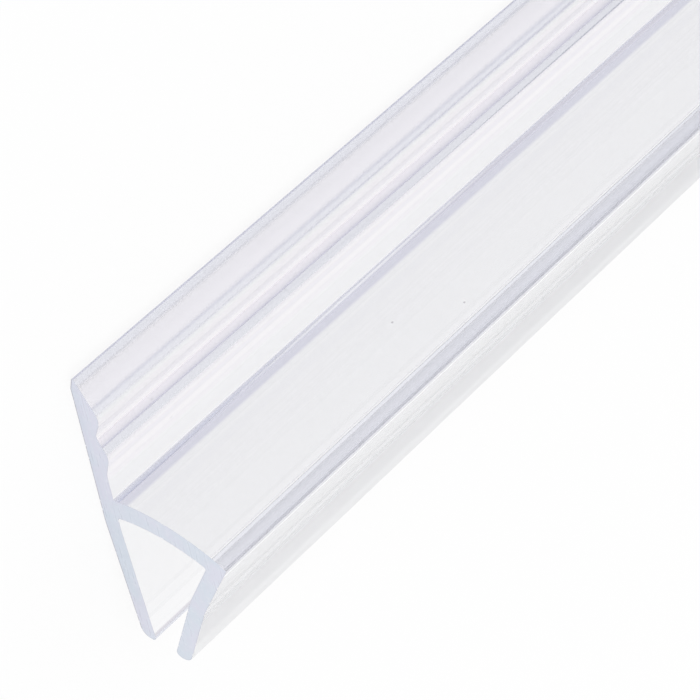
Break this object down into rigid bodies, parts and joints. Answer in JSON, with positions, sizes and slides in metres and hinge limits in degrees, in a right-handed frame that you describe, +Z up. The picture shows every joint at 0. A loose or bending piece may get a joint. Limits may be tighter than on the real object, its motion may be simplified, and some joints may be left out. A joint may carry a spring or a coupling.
{
  "type": "shower door seal strip",
  "caption": "Length of clear soft plastic door seal: a springy channel grips the edge of a glass panel, and a flat ridged fin beyond it closes the gap beside the panel.",
  "frame": {"origin": "on the floor plane, under the middle of the strip, which lies on the flat back of its fin", "axes": "+X along the strip, +Y across it from the fin's tip to the legs' tips, +Z up from the fin's back towards the front leg"},
  "size_m": [1, 0.0251, 0.0115],
  "materials": {
    "clear_pvc": "clear soft PVC, smooth, with faint haze and fine extrusion lines"
  },
  "bodies": {
    "root": {"seal_strip": "clear_pvc"}
  },
  "joints": []
}
